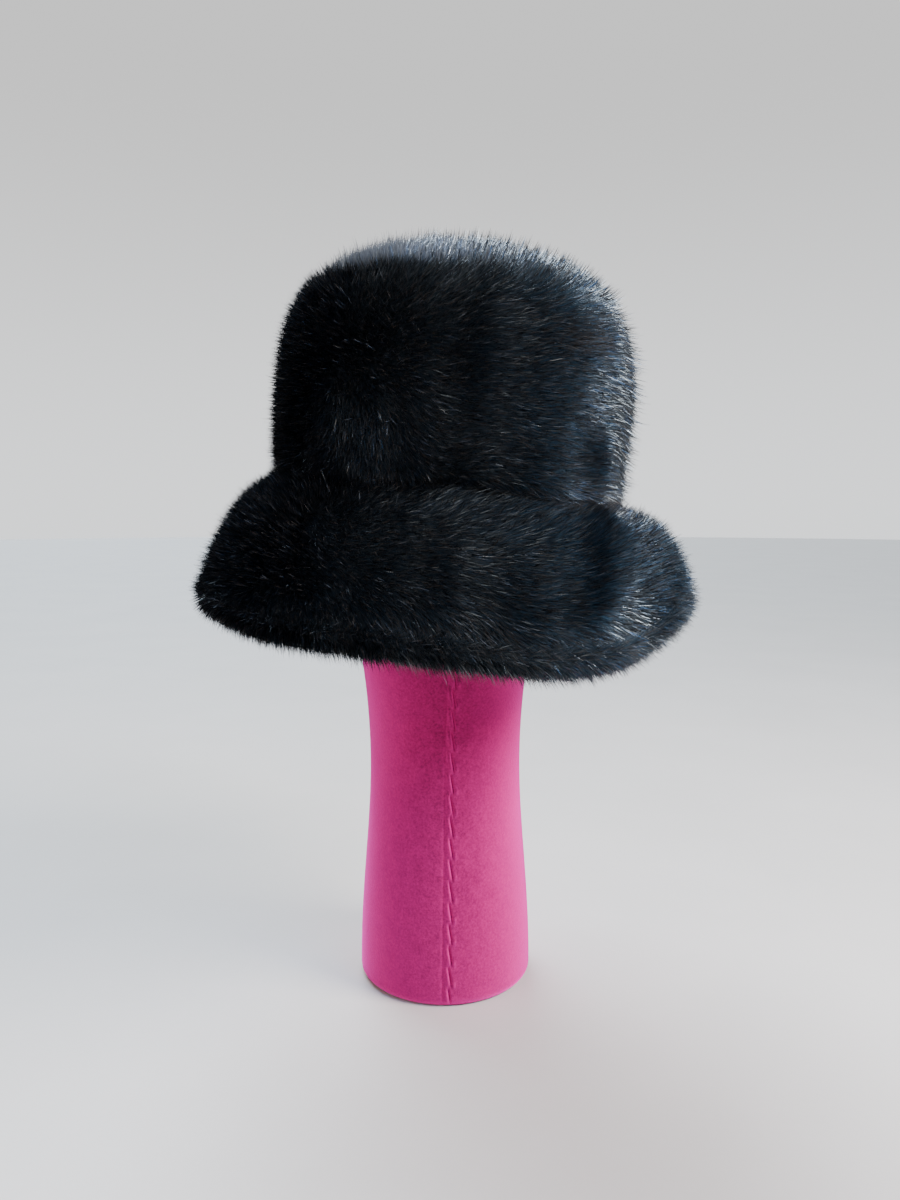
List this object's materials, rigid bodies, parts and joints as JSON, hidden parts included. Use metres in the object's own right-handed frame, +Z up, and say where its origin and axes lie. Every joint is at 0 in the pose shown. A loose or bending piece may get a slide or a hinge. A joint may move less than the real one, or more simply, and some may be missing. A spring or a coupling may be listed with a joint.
{
  "type": "fur bucket hat on a covered display stand",
  "caption": "Black fur bucket hat with a domed crown and a deep flared brim, resting on a plain magenta suede-covered stand.",
  "frame": {"origin": "centre of the stand's flat underside, on the surface that it stands on", "axes": "+Z up; the picture was taken from the -Y side, with +X to its right, and the hat leans towards +X"},
  "size_m": [0.3021, 0.2828, 0.4585],
  "materials": {
    "fur": "dense glossy black pile, about 10 mm long",
    "suede": "matt brushed nap"
  },
  "bodies": {
    "root": {"crown_tip": "fur", "crown_side": "fur", "brim": "fur", "stand": "suede"}
  },
  "joints": []
}
